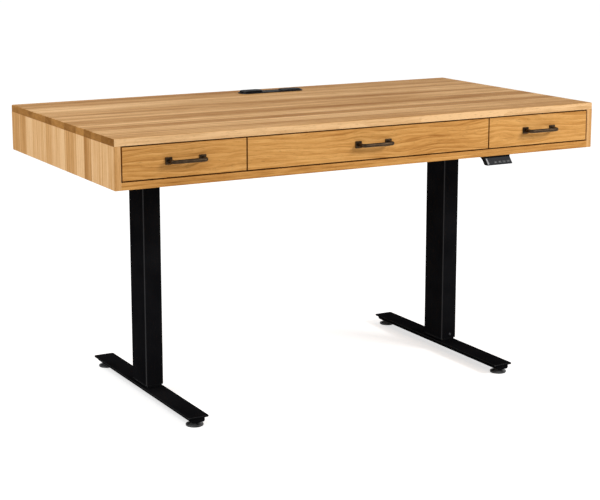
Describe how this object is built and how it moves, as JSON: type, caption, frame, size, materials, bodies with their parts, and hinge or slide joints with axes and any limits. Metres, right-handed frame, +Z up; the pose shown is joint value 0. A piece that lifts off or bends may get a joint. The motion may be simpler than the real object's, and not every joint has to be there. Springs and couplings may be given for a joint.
{
  "type": "electric standing desk",
  "caption": "Oak sit-stand desk: a shallow case with inset drawers and bar pulls on black telescopic lifting columns with T-shaped feet, a handset and a power unit.",
  "frame": {"origin": "on the floor, under the middle of the desk's box at its lowest setting", "axes": "+X to the sitter's right along the desk, +Y to the back, +Z up"},
  "size_m": [1.524, 0.821, 0.826],
  "materials": {
    "oak_top": "satin lacquer over edge-glued staves",
    "oak_side": "satin lacquer, upright staves",
    "oak_case": "satin lacquer",
    "oak_front": "satin lacquer, grain along the front",
    "drawer_box_wood": "clear lacquer on pale hardwood",
    "drawer_bottom_wood": "plywood",
    "slide_steel": "zinc plated",
    "dark_bronze": "dark bronze",
    "black_powder_coat": "fine textured powder coat",
    "motor_black": "satin black",
    "screw_steel": "greased steel",
    "guide_plastic": "smooth nylon",
    "glide_plastic": "moulded",
    "black_plastic": "fine moulded texture",
    "handset_gloss": "gloss",
    "key_plastic": "smooth"
  },
  "bodies": {
    "base": {"left_foot": "black_powder_coat", "right_foot": "black_powder_coat", "left_inner_tube": "black_powder_coat", "right_inner_tube": "black_powder_coat", "inner_tube_rings": "guide_plastic", "screw_nuts": "guide_plastic"},
    "middle_stage": {"left_middle_tube": "black_powder_coat", "right_middle_tube": "black_powder_coat", "middle_tube_rings": "guide_plastic", "hollow_screws": "screw_steel"},
    "desk": {"top_panel": "oak_top", "left_side_panel": "oak_side", "right_side_panel": "oak_side", "bottom_panel": "oak_case", "back_panel": "oak_case", "left_divider": "oak_case", "right_divider": "oak_case", "case_slides": "slide_steel", "left_outer_tube": "black_powder_coat", "right_outer_tube": "black_powder_coat", "outer_tube_rings": "guide_plastic", "drive_screws": "screw_steel", "left_gear_motor": "motor_black", "right_gear_motor": "motor_black", "left_side_bracket": "black_powder_coat", "right_side_bracket": "black_powder_coat", "front_cross_rail": "black_powder_coat", "back_cross_rail": "black_powder_coat", "control_box": "black_plastic", "handset_housing": "black_plastic", "handset_face": "handset_gloss", "power_bezel": "black_plastic", "power_sockets": "black_plastic", "power_housing": "black_plastic"},
    "left_drawer": {"left_drawer_front": "oak_front", "left_drawer_sides": "drawer_box_wood", "left_drawer_back": "drawer_box_wood", "left_drawer_bottom": "drawer_bottom_wood", "left_drawer_runners": "slide_steel", "left_drawer_pull": "dark_bronze"},
    "centre_drawer": {"centre_drawer_front": "oak_front", "centre_drawer_sides": "drawer_box_wood", "centre_drawer_back": "drawer_box_wood", "centre_drawer_bottom": "drawer_bottom_wood", "centre_drawer_runners": "slide_steel", "centre_drawer_pull": "dark_bronze"},
    "right_drawer": {"right_drawer_front": "oak_front", "right_drawer_sides": "drawer_box_wood", "right_drawer_back": "drawer_box_wood", "right_drawer_bottom": "drawer_bottom_wood", "right_drawer_runners": "slide_steel", "right_drawer_pull": "dark_bronze"},
    "left_front_glide": {"left_front_glide": "glide_plastic"},
    "left_back_glide": {"left_back_glide": "glide_plastic"},
    "right_front_glide": {"right_front_glide": "glide_plastic"},
    "right_back_glide": {"right_back_glide": "glide_plastic"},
    "raise_key": {"raise_key": "key_plastic"},
    "lower_key": {"lower_key": "key_plastic"},
    "preset_one_key": {"preset_one_key": "key_plastic"},
    "preset_two_key": {"preset_two_key": "key_plastic"}
  },
  "joints": [
    {"name": "desk_lift", "type": "slide", "parent": "base", "child": "desk", "axis": [0, 0, 1], "range_m": [0, 0.65]},
    {"name": "middle_stage_lift", "type": "slide", "parent": "base", "child": "middle_stage", "axis": [0, 0, 1], "range_m": [0, 0.325]},
    {"name": "left_drawer_slide", "type": "slide", "parent": "desk", "child": "left_drawer", "axis": [0, -1, 0], "range_m": [0, 0.37]},
    {"name": "centre_drawer_slide", "type": "slide", "parent": "desk", "child": "centre_drawer", "axis": [0, -1, 0], "range_m": [0, 0.37]},
    {"name": "right_drawer_slide", "type": "slide", "parent": "desk", "child": "right_drawer", "axis": [0, -1, 0], "range_m": [0, 0.37]},
    {"name": "left_front_glide_screw", "type": "slide", "parent": "base", "child": "left_front_glide", "axis": [0, 0, -1], "range_m": [0, 0.008]},
    {"name": "left_back_glide_screw", "type": "slide", "parent": "base", "child": "left_back_glide", "axis": [0, 0, -1], "range_m": [0, 0.008]},
    {"name": "right_front_glide_screw", "type": "slide", "parent": "base", "child": "right_front_glide", "axis": [0, 0, -1], "range_m": [0, 0.008]},
    {"name": "right_back_glide_screw", "type": "slide", "parent": "base", "child": "right_back_glide", "axis": [0, 0, -1], "range_m": [0, 0.008]},
    {"name": "raise_key_press", "type": "slide", "parent": "desk", "child": "raise_key", "axis": [0, 0.7683, -0.6401], "range_m": [0, 0.0008], "stiffness_N_per_m": 1500},
    {"name": "lower_key_press", "type": "slide", "parent": "desk", "child": "lower_key", "axis": [0, 0.7683, -0.6401], "range_m": [0, 0.0008], "stiffness_N_per_m": 1500},
    {"name": "preset_one_key_press", "type": "slide", "parent": "desk", "child": "preset_one_key", "axis": [0, 0.7683, -0.6401], "range_m": [0, 0.0008], "stiffness_N_per_m": 1500},
    {"name": "preset_two_key_press", "type": "slide", "parent": "desk", "child": "preset_two_key", "axis": [0, 0.7683, -0.6401], "range_m": [0, 0.0008], "stiffness_N_per_m": 1500}
  ],
  "couplings": [
    {"joint": "middle_stage_lift", "follows": "desk_lift", "ratio": 0.5}
  ]
}
